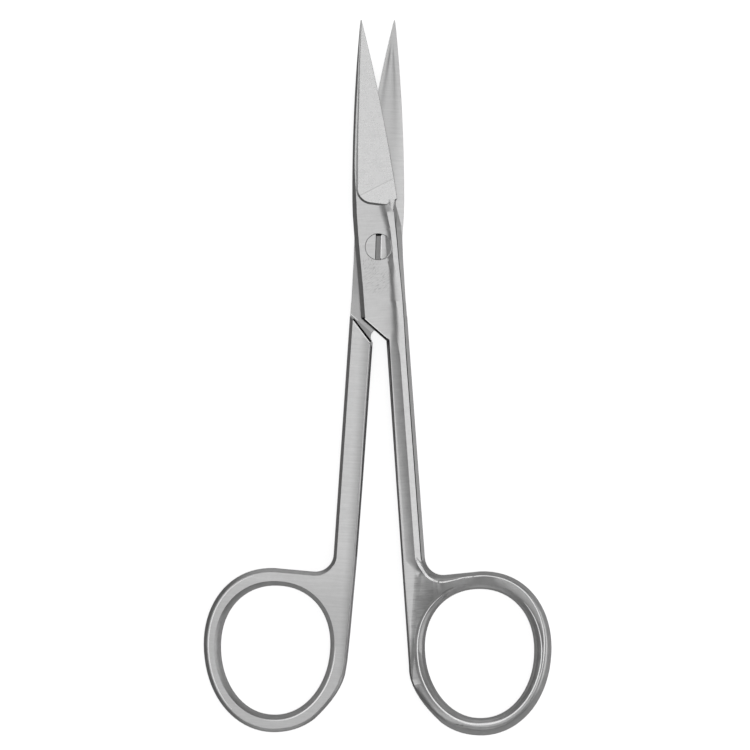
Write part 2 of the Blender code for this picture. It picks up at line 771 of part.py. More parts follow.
def make_screw(parts, cutters):
    """The pivot screw: head in the front half, thread in the rear half, both ends flush."""
    top = BOX_HALF_THICKNESS
    under_head = top - SCREW_HEAD_HEIGHT
    seat = SHOULDER_SEAT_GAP - LAP_GAP / 2.0
    profile = [
        (0.0, top),
        (SCREW_HEAD_RADIUS, top),
        (SCREW_HEAD_RADIUS, under_head),
        (SCREW_SHOULDER_RADIUS, under_head),
        (SCREW_SHOULDER_RADIUS, seat),
        (SCREW_THREAD_RADIUS, seat),
        (SCREW_THREAD_RADIUS, -top),
        (0.0, -top),
    ]
    item = turned("pivot_screw", profile, parts)
    for tool in (head_grinding(cutters), screw_slot(cutters)):
        hang(tool, item)
        cut(item, tool)
    return item


def build():
    clear_scene()
    parts = new_collection("fine_scissors")
    cutters = new_collection("cutters")
    steel = new_material("satin stainless steel", STEEL, 0.32)
    screw_steel = new_material("turned stainless steel", SCREW_STEEL, 0.28)

    rear_tools = [threaded_bore(cutters), crotch_notch(cutters)]
    rear = make_half("rear_half", rear_tools, parts, cutters)
    front = make_half("front_half", [clearance_bore(cutters)], parts, cutters)
    screw = make_screw(parts, cutters)

    level = BOX_HALF_THICKNESS * MM
    half_angle = math.radians(OPEN_ANGLE / 2.0)
    front.location.z = level
    front.rotation_euler.z = half_angle
    rear.location.z = level
    rear.rotation_euler = (0.0, math.pi, -half_angle)
    screw.location.z = level

    for half in (rear, front):
        half.data.materials.append(steel)
    screw.data.materials.append(screw_steel)


build()
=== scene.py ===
import math

import bmesh
import bpy
from mathutils import Matrix, Vector
from mathutils.bvhtree import BVHTree


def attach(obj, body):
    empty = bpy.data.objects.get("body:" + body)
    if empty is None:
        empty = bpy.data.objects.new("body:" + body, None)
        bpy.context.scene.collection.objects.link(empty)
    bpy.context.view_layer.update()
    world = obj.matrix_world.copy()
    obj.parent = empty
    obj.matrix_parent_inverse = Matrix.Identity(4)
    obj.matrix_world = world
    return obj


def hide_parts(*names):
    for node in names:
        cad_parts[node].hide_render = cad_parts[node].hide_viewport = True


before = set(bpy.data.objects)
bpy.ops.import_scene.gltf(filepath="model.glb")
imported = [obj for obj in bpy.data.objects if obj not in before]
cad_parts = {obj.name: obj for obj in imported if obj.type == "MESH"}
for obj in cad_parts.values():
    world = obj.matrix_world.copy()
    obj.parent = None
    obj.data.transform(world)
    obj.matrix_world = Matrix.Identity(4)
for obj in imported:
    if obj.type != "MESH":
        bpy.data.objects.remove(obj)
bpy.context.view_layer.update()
mm = 0.001
halfAngle = 4.05         # degrees, each half is turned by this from the upright line
midLevel = 1.95          # mm, the plane between the halves above the floor


def toWorld(node, place):
    # from a half's own frame (out from the middle, up the blade) to that of the whole, both in mm
    turn = math.radians(halfAngle)
    u, v = place
    x = u * math.cos(turn) - v * math.sin(turn)
    return Vector((x if node == "front_half" else -x, u * math.sin(turn) + v * math.cos(turn)))


def toOwn(node, co):
    # from a place in metres to a half's own frame in mm, its height from the plane between them
    turn = math.radians(halfAngle)
    x, y, z = co / mm
    x = x if node == "front_half" else -x
    u = x * math.cos(turn) + y * math.sin(turn)
    v = y * math.cos(turn) - x * math.sin(turn)
    return u, v, z - midLevel


def srgb(code):
    # sRGB hex to the linear colour that a shader socket wants
    values = [int(code[i:i + 2], 16) / 255 for i in (0, 2, 4)]
    linear = [v / 12.92 if v <= 0.04045 else ((v + 0.055) / 1.055) ** 2.4 for v in values]
    return (*linear, 1.0)


def addNode(tree, kind, inputs=None, links=None, **settings):
    # inputs are values by socket, links the sockets that feed them, settings the node's own
    node = tree.nodes.new(kind)
    for key, value in settings.items():
        setattr(node, key, value)
    for key, value in (inputs or {}).items():
        node.inputs[key].default_value = value
    for key, source in (links or {}).items():
        tree.links.new(source, node.inputs[key])
    return node


photo = {
    "frameWidth": 135.3 * mm,      # what the picture's width spans at the level below
    "level": 3.0 * mm,
    "centre": (-0.668 * mm, -23.108 * mm),
    "roll": -0.145,                # degrees
    "lens": 300.0,                 # mm, long, as the picture shows next to no perspective
    "sensor": 36.0,
    "clip": (0.05, 20.0),
}

cameraData = bpy.data.cameras.new("photoCamera")
cameraData.lens = photo["lens"]
cameraData.sensor_width = photo["sensor"]
cameraData.clip_start, cameraData.clip_end = photo["clip"]
camera = bpy.data.objects.new("photoCamera", cameraData)
distance = photo["frameWidth"] / photo["sensor"] * photo["lens"]
camera.location = (*photo["centre"], photo["level"] + distance)
camera.rotation_euler = (0.0, 0.0, math.radians(photo["roll"]))
bpy.context.scene.collection.objects.link(camera)
bpy.context.scene.camera = camera
print("camera placed")

grain = {
    "brushPitch": 0.32,      # mm, coarser than the real grit so that it shows
    "brushLength": 5.0,      # mm
    "mottle": 1.6,           # mm
    "speck": 0.22,           # mm
    "bump": 0.02 * mm,
    "midTone": 0.98,         # share of the colour where the grain is even
    "roughSpread": 0.05,
}


def steelMaterial(name, colour, turn, roughness, brush=0.5, mottle=0.5, speck=0.0, bump=0.25,
                  spread=0.14):
    # stainless steel, ground and brushed: grey, soft reflections, fine lines across the piece
    material = bpy.data.materials.new(name)
    material.use_nodes = True
    tree = material.node_tree
    surface = tree.nodes["Principled BSDF"]
    surface.inputs["Metallic"].default_value = 1.0
    coords = addNode(tree, "ShaderNodeTexCoord")
    own = addNode(tree, "ShaderNodeMapping",
                  {"Rotation": (0, 0, -math.radians(turn)), "Scale": (1 / mm, 1 / mm, 1 / mm)},
                  {"Vector": coords.outputs["Object"]})
    stretched = addNode(tree, "ShaderNodeMapping",
                        {"Scale": (1 / grain["brushLength"], 1 / grain["brushPitch"],
                                   1 / grain["brushPitch"])},
                        {"Vector": own.outputs["Vector"]})
    brushLines = addNode(tree, "ShaderNodeTexNoise",
                         {"Scale": 1.0, "Detail": 4.0, "Roughness": 0.6},
                         {"Vector": stretched.outputs["Vector"]})
    clouds = addNode(tree, "ShaderNodeTexNoise",
                     {"Scale": 1 / grain["mottle"], "Detail": 5.0, "Roughness": 0.65},
                     {"Vector": own.outputs["Vector"]})
    specks = addNode(tree, "ShaderNodeTexNoise",
                     {"Scale": 1 / grain["speck"], "Detail": 3.0, "Roughness": 0.7},
                     {"Vector": own.outputs["Vector"]})
    total = brush + mottle + speck
    lines = addNode(tree, "ShaderNodeMath", {1: brush / total}, {0: brushLines.outputs["Fac"]},
                    operation="MULTIPLY")
    blotch = addNode(tree, "ShaderNodeMath", {1: mottle / total},
                     {0: clouds.outputs["Fac"], 2: lines.outputs[0]}, operation="MULTIPLY_ADD")
    mixed = addNode(tree, "ShaderNodeMath", {1: speck / total},
                    {0: specks.outputs["Fac"], 2: blotch.outputs[0]}, operation="MULTIPLY_ADD")
    tone = addNode(tree, "ShaderNodeMapRange",
                   {"From Min": 0.25, "From Max": 0.75,
                    "To Min": grain["midTone"] - spread, "To Max": grain["midTone"] + spread},
                   {"Value": mixed.outputs[0]})
    tint = addNode(tree, "ShaderNodeMix", {"Factor": 1.0, "A": srgb(colour)},
                   {"B": tone.outputs[0]}, data_type="RGBA", blend_type="MULTIPLY")
    tree.links.new(tint.outputs["Result"], surface.inputs["Base Color"])
    rough = addNode(tree, "ShaderNodeMapRange",
                    {"To Min": roughness - grain["roughSpread"],
                     "To Max": roughness + grain["roughSpread"]},
                    {"Value": clouds.outputs["Fac"]})
    tree.links.new(rough.outputs[0], surface.inputs["Roughness"])
    raised = addNode(tree, "ShaderNodeBump", {"Strength": bump, "Distance": grain["bump"]},
                     {"Height": brushLines.outputs["Fac"]})
    tree.links.new(raised.outputs["Normal"], surface.inputs["Normal"])
    return material


def tintBy(material, factor):
    # multiplies the colour by a factor that other nodes work out
    tree = material.node_tree
    socket = tree.nodes["Principled BSDF"].inputs["Base Color"]
    tint = addNode(tree, "ShaderNodeMix", {"Factor": 1.0},
                   {"A": socket.links[0].from_socket, "B": factor},
                   data_type="RGBA", blend_type="MULTIPLY")
    tree.links.new(tint.outputs["Result"], socket)


def tintAlong(material, axis, start, end, low, high, line=None):
    # shades the colour along a direction in the plane, from one level to another between two places
    # in mm, or between two distances from a line
    tree = material.node_tree
    coords = addNode(tree, "ShaderNodeTexCoord")
    place = addNode(tree, "ShaderNodeVectorMath", {1: (axis[0] / mm, axis[1] / mm, 0)},
                    {0: coords.outputs["Object"]}, operation="DOT_PRODUCT").outputs["Value"]
    if line is not None:
        place = addNode(tree, "ShaderNodeMath", {1: line}, {0: place},
                        operation="SUBTRACT").outputs[0]
        place = addNode(tree, "ShaderNodeMath", None, {0: place}, operation="ABSOLUTE").outputs[0]
    level = addNode(tree, "ShaderNodeMapRange",
                    {"From Min": start, "From Max": end, "To Min": low, "To Max": high},
                    {"Value": place}, interpolation_type="SMOOTHSTEP")
    tintBy(material, level.outputs[0])


def scratchPatch(material, centre, radius, angle, pitch, length, strength):
    # a patch of fine dark scratches that fades out at its radius, all in mm
    tree = material.node_tree
    coords = addNode(tree, "ShaderNodeTexCoord")
    placed = addNode(tree, "ShaderNodeMapping",
                     {"Location": (-centre[0], -centre[1], 0), "Scale": (1 / mm, 1 / mm, 0)},
                     {"Vector": coords.outputs["Object"]})
    turned = addNode(tree, "ShaderNodeMapping", {"Rotation": (0, 0, -math.radians(angle))},
                     {"Vector": placed.outputs["Vector"]})
    thin = addNode(tree, "ShaderNodeMapping", {"Scale": (1 / length, 1 / pitch, 1)},
                   {"Vector": turned.outputs["Vector"]})
    noise = addNode(tree, "ShaderNodeTexNoise", {"Scale": 1.0, "Detail": 2.0},
                    {"Vector": thin.outputs["Vector"]})
    marks = addNode(tree, "ShaderNodeMapRange", {"From Min": 0.52, "From Max": 0.64},
                    {"Value": noise.outputs["Fac"]})
    reach = addNode(tree, "ShaderNodeVectorMath", None, {0: placed.outputs["Vector"]},
                    operation="LENGTH")
    fade = addNode(tree, "ShaderNodeMapRange",
                   {"From Min": 0.4 * radius, "From Max": radius,
                    "To Min": strength, "To Max": 0.0},
                   {"Value": reach.outputs["Value"]}, interpolation_type="SMOOTHSTEP")
    cover = addNode(tree, "ShaderNodeMath", None, {0: marks.outputs[0], 1: fade.outputs[0]},
                    operation="MULTIPLY")
    left = addNode(tree, "ShaderNodeMath", {0: 1.0}, {1: cover.outputs[0]}, operation="SUBTRACT")
    tintBy(material, left.outputs[0])


finish = {
    "weld": 0.0005 * mm,
    "shortEdge": 0.02 * mm,
    "flatAngle": 0.4,        # degrees, faces that differ by less are one
    "edgeBreak": 0.035 * mm,
    "sharpAngle": 20.0,      # degrees, edges beyond this are broken
    "hardAngle": 35.0,       # degrees, edges beyond this are shaded hard
    "tipStart": 39.5,        # mm, from here to the points edges stay as ground
    "bowStart": -57.0,       # mm, where the shank opens into the bow
    "bowEnd": -61.0,         # mm, where the chamfer along the back has run round the saddle
    "web": (-84.0, 12.0),    # mm, how far down and out the soft hollow beside the hole reaches
    "hollowStart": 11.0,     # mm, where the hollow grinding of the blade's inside starts
    "hollowLevel": 0.95,     # least upward part of a normal inside the hollow grinding
    "flatWeight": 60,        # how much the large faces rule the shading
}


def tiltOf(face):
    # degrees off level
    return math.degrees(math.acos(max(-1.0, min(1.0, abs(face.normal.z)))))


def edgeAngle(edge):
    return math.degrees(edge.calc_face_angle(0.0))


def shareAt(table, place):
    # reads a table of (place, value) pairs
    for (low, before), (high, after) in zip(table, table[1:]):
        if low <= place <= high:
            return before + (after - before) * (place - low) / (high - low)
    return 0.0


ovals = {
    # centre, half width and half length in mm in the half's own frame, egg share, tilt in degrees
    "rim": ((13.687, -74.225), (12.445, 14.84), 0.0, -11.0),
    "hole": ((13.235, -74.215), (9.83, 11.65), 0.064, -1.5),
}
fullness = 2.1               # 2 is an ellipse


def ovalPoint(shape, angle):
    # a point of an egg-shaped, tilted oval in the half's own frame, in mm
    centre, (halfWidth, halfLength), egg, tilt = shape
    power = 2.0 / fullness
    x = halfWidth * math.copysign(abs(math.cos(angle)) ** power, math.cos(angle))
    y = halfLength * math.copysign(abs(math.sin(angle)) ** power, math.sin(angle))
    x *= 1.0 + egg * y / halfLength
    lean = math.radians(tilt)
    return Vector((centre[0] + x * math.cos(lean) - y * math.sin(lean),
                   centre[1] + x * math.sin(lean) + y * math.cos(lean)))


def addFace(bm, corners, slot):
    # a face on its own vertices, turned to look up
    face = bm.faces.new([bm.verts.new(co) for co in corners])
    face.normal_update()
    if face.normal.z < -1e-4:
        face.normal_flip()
    face.material_index = slot


lands = {
    "spread": (-1.6, -1, 1, 1.6),               # half widths, the outer ones dip into the steel
    "lifts": (-0.06, 0.010, 0.010, -0.06),      # mm
    "feel": (-1, -0.5, 0, 0.5, 1),              # half widths, where the steel's height is read
    "thinnest": 0.02,                           # mm, the least half width that is laid
    "round": 180,                               # steps round a bow
    "aside": 0.01,                              # radians, for the direction along an oval
    "steps": 8,                                 # steps between two points of a corner line
}
above = 10 * mm              # clear of all the steel, where rays start down


def dropOn(surface, place):
    # the highest point of the steel at a place in mm, or None beside it
    start = Vector((*place, 0)) * mm + Vector((0, 0, above))
    return surface.ray_cast(start, Vector((0, 0, -1)))[0]


def addLand(bm, surface, path, slot):
    # lays a narrow level land, closed down into the steel on both sides, along a path of
    # (middle, direction across, half width)
    tops = []
    for middle, across, half in path:
        hits = [dropOn(surface, middle + across * offset * half) for offset in lands["feel"]]
        tops.append(max(hit.z for hit in hits if hit))
    rails = []
    for i, (middle, across, half) in enumerate(path):
        if half < lands["thinnest"]:
            rails.append(None)
            continue
        top = max(tops[max(0, i - 1):i + 2])
        rail = []
        for offset, lift in zip(lands["spread"], lands["lifts"]):
            co = Vector((*(middle + across * offset * half), 0)) * mm
            rail.append(co + Vector((0, 0, top + lift * mm)))
        rails.append(rail)
    for before, after in zip(rails, rails[1:]):
        if before and after:
            for i in range(len(before) - 1):
                addFace(bm, (before[i], before[i + 1], after[i + 1], after[i]), slot)


def smoothPath(points, steps):
    # more points along a curve through the given ones
    ends = [2 * points[0] - points[1], *points, 2 * points[-1] - points[-2]]
    path = []
    for a, b, c, d in zip(ends, ends[1:], ends[2:], ends[3:]):
        for i in range(steps):
            t = i / steps
            path.append(0.5 * (2 * b + (c - a) * t + (2 * a - 5 * b + 4 * c - d) * t * t
                               + (3 * b - a - 3 * c + d) * t ** 3))
    return [*path, points[-1]]


bowShift = {"front_half": (-0.34, -0.33), "rear_half": (0.34, 0.33)}
ridges = {
    # polished ridge lines of a bow, laid as level lands whose lighter colour is painted highlight:
    # the oval that they follow, how far outside it they run and how wide they are in mm, both
    # against the angle round the bow from its outer side over its top
    "front_half": (
        ("rim", ((0, -1.38), (50, -0.92), (90, -0.72), (180, -0.72), (300, -1.60), (360, -1.38)),
         ((0, 0.20), (45, 0.18), (90, 0.14), (105, 0.0), (310, 0.0), (335, 0.10), (360, 0.20))),
        ("hole", ((0, 1.32), (90, 0.88), (150, 1.33), (195, 1.44), (270, 1.05), (360, 1.32)),
         ((0, 0.18), (30, 0.12), (55, 0.0), (110, 0.0), (130, 0.12), (165, 0.18), (200, 0.20),
          (240, 0.28), (270, 0.36), (300, 0.24), (360, 0.18))),
    ),
    "rear_half": (
        ("rim", ((0, -0.90), (360, -0.90)),
         ((0, 0.18), (35, 0.16), (65, 0.08), (80, 0.0), (290, 0.0), (325, 0.14), (360, 0.18))),
        ("hole", ((0, 1.40), (90, 1.0), (180, 0.92), (270, 1.0), (360, 1.40)),
         ((165, 0.0), (185, 0.12), (215, 0.22), (245, 0.20), (285, 0.0))),
    ),
}
cornerHighlightsAndShade = {
    # painted highlights (bright) and painted shade (dark) as lines along single edges, as points of
    # (x, y, width) in mm
    "pivot_screw": (
        ("bright", ((0.57, 2.05, 0.17), (0.45, -2.05, 0.17))),
    ),
    "front_half": (
        ("bright", ((6.62, -56.0, 0.20), (7.05, -57.0, 0.44), (7.63, -57.99, 0.46),
                    (8.82, -59.58, 0.40), (10.81, -60.47, 0.30), (12.80, -60.27, 0.22),
                    (15.59, -59.60, 0.16), (18.38, -59.41, 0.10))),
        ("bright", ((-2.45, -12.92, 0.14), (1.55, -16.42, 0.14))),
        ("dark", ((-2.90, -12.74, 0.16), (1.42, -16.54, 0.16))),
    ),
    "rear_half": (
        ("bright", ((-4.60, -13.35, 0.16), (-1.62, -17.30, 0.16))),
        ("dark", ((-4.52, -12.95, 0.26), (-1.40, -17.08, 0.30))),
        ("bright", ((-5.00, -12.09, 0.13), (-3.72, -13.24, 0.13))),
    ),
}


def addRidges(bm, surface, node, slots):
    for name, insets, widths in ridges.get(node, ()):
        path = []
        for i in range(lands["round"] + 1):
            angle = 2 * math.pi * i / lands["round"]
            here = ovalPoint(ovals[name], angle)
            ahead = ovalPoint(ovals[name], angle + lands["aside"])
            along = ahead - ovalPoint(ovals[name], angle - lands["aside"])
            outwards = Vector((along.y, -along.x)).normalized()
            spot = here - Vector(ovals[name][0])
            place = math.degrees(math.atan2(spot.y, spot.x)) % 360
            middle = here + Vector(bowShift[node]) + outwards * shareAt(insets, place)
            outer = toWorld(node, middle + outwards)
            middle = toWorld(node, middle)
            path.append((middle, outer - middle, shareAt(widths, place) / 2))
        addLand(bm, surface, path, slots["bright"])
    for tone, points in cornerHighlightsAndShade[node]:
        spots = smoothPath([Vector(point) for point in points], lands["steps"])
        path = []
        for i, spot in enumerate(spots):
            run = (spots[min(len(spots) - 1, i + 1)] - spots[max(0, i - 1)]).xy.normalized()
            path.append((spot.xy, Vector((run.y, -run.x)), spot.z / 2))
        addLand(bm, surface, path, slots[tone])


heel = {
    # the blend's ends, as (inner, outer) on the chamfer's side and on the ground face's side, in mm
    "rails": (((2.40, 7.75), (3.15, 6.0)), ((2.40, 8.50), (3.62, 8.55))),
    "columns": 8,
    "steps": 6,
    "lift": 0.004,           # mm above the steel
    "wall": 0.9,             # mm, how far the outer side reaches down
}


def addHeelBlend(bm, surface, slot, sideSlot):
    # fans the chamfer out into the ground face over the heel's step, and walls the outer side
    rows = []
    for i in range(heel["columns"] + 1):
        share = i / heel["columns"]
        ends = []
        for (u, v), (uFar, vFar) in heel["rails"]:
            spot = (u + (uFar - u) * share, v + (vFar - v) * share)
            hit = dropOn(surface, toWorld("front_half", spot))
            ends.append(hit + Vector((0, 0, heel["lift"] * mm)))
        rows.append([ends[0].lerp(ends[1], j / heel["steps"]) for j in range(heel["steps"] + 1)])
    drop = Vector((0, 0, -heel["wall"] * mm))
    for before, after in zip(rows, rows[1:]):
        for j in range(heel["steps"]):
            addFace(bm, (before[j], after[j], after[j + 1], before[j + 1]), slot)
    outer = rows[-1]
    for j in range(heel["steps"]):
        addFace(bm, (outer[j] + drop, outer[j + 1] + drop, outer[j + 1], outer[j]), sideSlot)


back = {
    # the forging swells between the heel and the shank: where the bands are cut, and how far out
    # they move, in mm
    "cuts": (2.4, -2.7, -6.0, -10.0, -15.0),
    "shift": ((-20.0, 0.0), (-15.0, 0.36), (-10.0, 0.55), (-6.0, 0.42), (-2.7, 0.24), (1.0, 0.06),
              (3.4, 0.0)),
    "inner": 0.3,            # mm, nothing nearer to the middle moves
    "outer": 4.1,            # mm, nothing farther out moves
    "level": 0.2,            # mm above the plane between the halves
}


def cutAcross(bm, node, v):
    # cuts the half across at a place along it
    upwards = Vector((*toWorld(node, (0.0, 1.0)), 0))
    bmesh.ops.bisect_plane(bm, geom=bm.verts[:] + bm.edges[:] + bm.faces[:],
                           plane_co=Vector((*toWorld(node, (0.0, v)), 0)) * mm, plane_no=upwards)


def shiftBack(bm):
    # draws the bands along the back out between the heel and the shank
    for v in back["cuts"]:
        cutAcross(bm, "front_half", v)
    for vert in bm.verts:
        u, v, w = toOwn("front_half", vert.co)
        if w > back["level"] and back["inner"] < u < back["outer"]:
            shift = shareAt(back["shift"], v) * min(1.0, back["outer"] - u)
            vert.co += Vector((*toWorld("front_half", (shift, 0.0)), 0)) * mm


def isSoft(vert, node):
    # inside the web and the hollow grinding the shading runs on smoothly
    if node == "front_half":
        low, reach = finish["web"]
        return vert.co.x < reach * mm and low * mm < vert.co.y < finish["bowStart"] * mm
    return (node == "rear_half" and vert.co.y > finish["hollowStart"] * mm
            and min(face.normal.z for face in vert.link_faces) > finish["hollowLevel"])


def dressedCopy(node, name, body, materials, zone):
    # a merged copy of the node with its sharp edges broken, which stands for it
    mesh = bpy.data.meshes.new(name)
    bm = bmesh.new()
    bm.from_mesh(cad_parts[node].data)
    bmesh.ops.remove_doubles(bm, verts=bm.verts, dist=finish["weld"])
    bmesh.ops.dissolve_degenerate(bm, dist=finish["shortEdge"], edges=bm.edges)
    bmesh.ops.dissolve_limit(bm, angle_limit=math.radians(finish["flatAngle"]), verts=bm.verts,
                             edges=bm.edges)
    if node == "rear_half":
        cutAcross(bm, node, 0.0)      # parts the lap from the blade's inside
    if node == "front_half":
        shiftBack(bm)
    bm.normal_update()
    for face in bm.faces:
        face.material_index = zone(face)
    sharp = []
    for edge in bm.edges:
        y = (edge.verts[0].co.y + edge.verts[1].co.y) / 2 / mm
        if edgeAngle(edge) > finish["sharpAngle"] and finish["bowStart"] < y < finish["tipStart"]:
            sharp.append(edge)
    bmesh.ops.bevel(bm, geom=sharp, offset=finish["edgeBreak"], segments=2, profile=0.5,
                    affect="EDGES", clamp_overlap=False, material=-1)
    for edge in bm.edges:
        edge.smooth = edgeAngle(edge) < finish["hardAngle"]
    surface = BVHTree.FromBMesh(bm)
    last = len(materials) - 1
    addRidges(bm, surface, node, {"bright": last, "dark": last - 1})
    if node == "front_half":
        addHeelBlend(bm, surface, slot=2, sideSlot=1)
    for face in bm.faces:
        face.smooth = True
    bm.verts.index_update()
    bm.normal_update()
    ground = [vert.index for vert in bm.verts if not isSoft(vert, node)]
    bm.to_mesh(mesh)
    bm.free()
    for material in materials:
        mesh.materials.append(material)
    piece = bpy.data.objects.new(name, mesh)
    bpy.context.scene.collection.objects.link(piece)
    piece.vertex_groups.new(name="groundFlats").add(ground, 1.0, "REPLACE")
    even = piece.modifiers.new("evenNormals", "WEIGHTED_NORMAL")
    even.keep_sharp = True
    even.weight = finish["flatWeight"]
    even.vertex_group = "groundFlats"
    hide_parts(node)
    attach(piece, body)
    print(name, "made,", len(mesh.polygons), "faces")


# satin flats, brushed across each half
frontFlat = steelMaterial("satinBrushedSteelFront", "d6d6d6", halfAngle, 0.30)
rearFlat = steelMaterial("satinBrushedSteelRear", "d6d6d6", -halfAngle, 0.30)
# rough tumbled satin; its darker colour is also painted shade, so that the forging's sides stay mid
# grey
sideSteel = steelMaterial("tumbledSteelSidesPaintedShade", "a2a2a2", 0, 0.38, brush=0.2, mottle=0.6)
# painted shade: the steep wall where the grinding wheel's corner ran along the back is coloured
# near black, as the shade in that groove
grooveShadeSteel = steelMaterial("paintedShadeSteelGroove", "303030", 0, 0.42, brush=0.2, mottle=0.6)
# hand-polished bands of the bows, a little duller than the flats
bowSteel = steelMaterial("handPolishedSteelBow", "c6c6c6", 0, 0.38, brush=0.2, mottle=0.5)
rearBowSteel = steelMaterial("handPolishedSteelRearBow", "d0d0d0", 0, 0.38, brush=0.2, mottle=0.7)
# lighter than the flats, with a fine speckled grain
groundSteel = steelMaterial("groundSteelBlade", "dcdcdc", halfAngle, 0.27,
                            brush=0.3, mottle=0.3, speck=0.5)
# coarser, so that the chamfer keeps its light as it twists into the heel
chamferSteel = steelMaterial("groundSteelChamfer", "d4d4d4", halfAngle, 0.36, brush=0.3, mottle=0.5)
# the mating face of the box, duller; its colour is shaded below along the lap and with painted
# shade beside the front's lap end
lapSteel = steelMaterial("rubbedSteelLap", "bcbcbc", -halfAngle, 0.34,
                         brush=0.4, mottle=0.8, speck=0.2)
# the hollow-ground inside of the blade, with painted shade darker towards the cutting edge
innerSteel = steelMaterial("groundSteelBladeInside", "dadada", -halfAngle, 0.30,
                           brush=0.5, mottle=0.4)
# ridges between two ground faces and single bright edges, polished; their lighter colour is painted
# highlight
crestHighlightSteel = steelMaterial("polishedSteelCrestPaintedHighlight", "e4e4e4", 0, 0.24, brush=0.3, mottle=0.3)
# the hollow between the shank and the hole, ground across and left matt; its darker colour is also
# painted shade
webSteel = steelMaterial("crossGroundSteelWebPaintedShade", "b4b4b4", halfAngle, 0.38,
                         brush=0.9, mottle=0.3, bump=0.5, spread=0.30)
# painted shade: near-black lines in the corners where a ground wall meets a flat
cornerShadeSteel = steelMaterial("paintedShadeSteelCorner", "1c1c1c", 0, 0.45, brush=0.2, mottle=0.6)
# the screw's head, turned and then ground with the flat
screwSteel = steelMaterial("satinTurnedSteel", "d6d6d6", 0, 0.30)
# rough from the saw
slotSteel = steelMaterial("sawnSteelSlot", "b0b0b0", 0, 0.42, brush=0.3, mottle=0.6)

frontOut = toWorld("front_half", (1.0, 0.0))
rearOut = toWorld("rear_half", (1.0, 0.0))
boxOut = (0.9954, 0.1005)        # square to the bands along the back
lapEndAcross = (-0.667, -0.745)
upright = (0.0, 1.0)
# shades: direction, from and to in mm along it, level before and after
# painted shade on the inside of the rear blade, darker towards its cutting edge beside the front
# blade
tintAlong(innerSteel, -rearOut, 0.8, 3.4, 0.86, 1.03)
# the lap lighter towards its end and darker towards the screw
tintAlong(lapSteel, upright, -10.5, -6.0, 1.12, 0.93)
# painted shade in a band beside the front's lap end
tintAlong(lapSteel, lapEndAcross, 12.30, 12.45, 1.0, 0.70)
# painted shade: the front's flat darkens softly towards the back, the rear's towards its inner edge
# and its bow
tintAlong(frontFlat, boxOut, 0.75, 2.35, 1.0, 0.84)
tintAlong(rearFlat, upright, -66.0, -55.0, 0.84, 1.0)
tintAlong(rearFlat, rearOut, 0.5, 2.4, 0.70, 1.0)
# painted shade on the front bow towards the middle of the scissors, and lighter beyond
tintAlong(bowSteel, (1.0, 0.0), 8.0, 12.5, 0.82, 1.12)
# painted light in the web, lighter towards the middle of the scissors and fading out towards the
# hole
tintAlong(webSteel, frontOut, 2.0, 4.6, 1.46, 1.0)
# painted shadow: the slot's far end is near black, where it runs into the gap at the head's rim
tintAlong(slotSteel, upright, 1.85, 2.05, 1.0, 0.04)
# the last pass of the wheel ends in a faint slanted line on the ground face; the slight change of
# tilt there is painted, as a lighter side and a dark line of painted shade
wheelLine = {"across": (-0.453, 0.8915), "at": 9.765}
tintAlong(groundSteel, wheelLine["across"], 9.72, 9.80, 1.03, 1.0)
tintAlong(groundSteel, wheelLine["across"], 0.04, 0.10, 0.80, 1.0, wheelLine["at"])
# wear on the box: centre, radius, angle, pitch, length, strength
scratchPatch(frontFlat, (-0.3, -6.0), 3.4, 35.0, 0.14, 1.0, 0.30)
scratchPatch(frontFlat, (-1.6, -3.2), 2.4, 70.0, 0.16, 0.6, 0.28)
print("steel mixed")

zones = {
    # tilts in degrees off level, places in mm in the half's own frame, heights in mm from the plane
    # between the halves
    "sideTilt": 50.0,        # steeper faces keep the rough satin of the forging's sides
    "wallTilt": 66.0,        # steeper ones along the back are the wheel's groove
    "flatTilt": 12.0,
    "chamferTilt": (17.0, 45.0),
    "webTilt": (4.0, 14.0),
    "bowTilt": 6.0,
    "bladeStart": 7.5,
    "bladeEdge": -1.2,       # the strip along the spine lies beyond this
    "bladeTop": 1.55,
    "bladeArea": 2.0 * mm * mm,
    "backOut": 0.8,
    "backLean": 0.08,        # least outward part of a normal along the back
    "backEnd": 9.0,
    "backFoot": -0.1,
    "chamferFoot": 0.9,
    "heelStart": 5.5,
    "heelOut": 1.9,
    "webOut": (1.0, 9.0),
    "webFoot": 0.5,
    "bowOut": 8.0,
    "lapHeight": 0.2,
    "lapNormal": 0.9,
    "slotOut": 0.7,
    "slotReach": 2.2,
    "slotTop": 1.85,
}


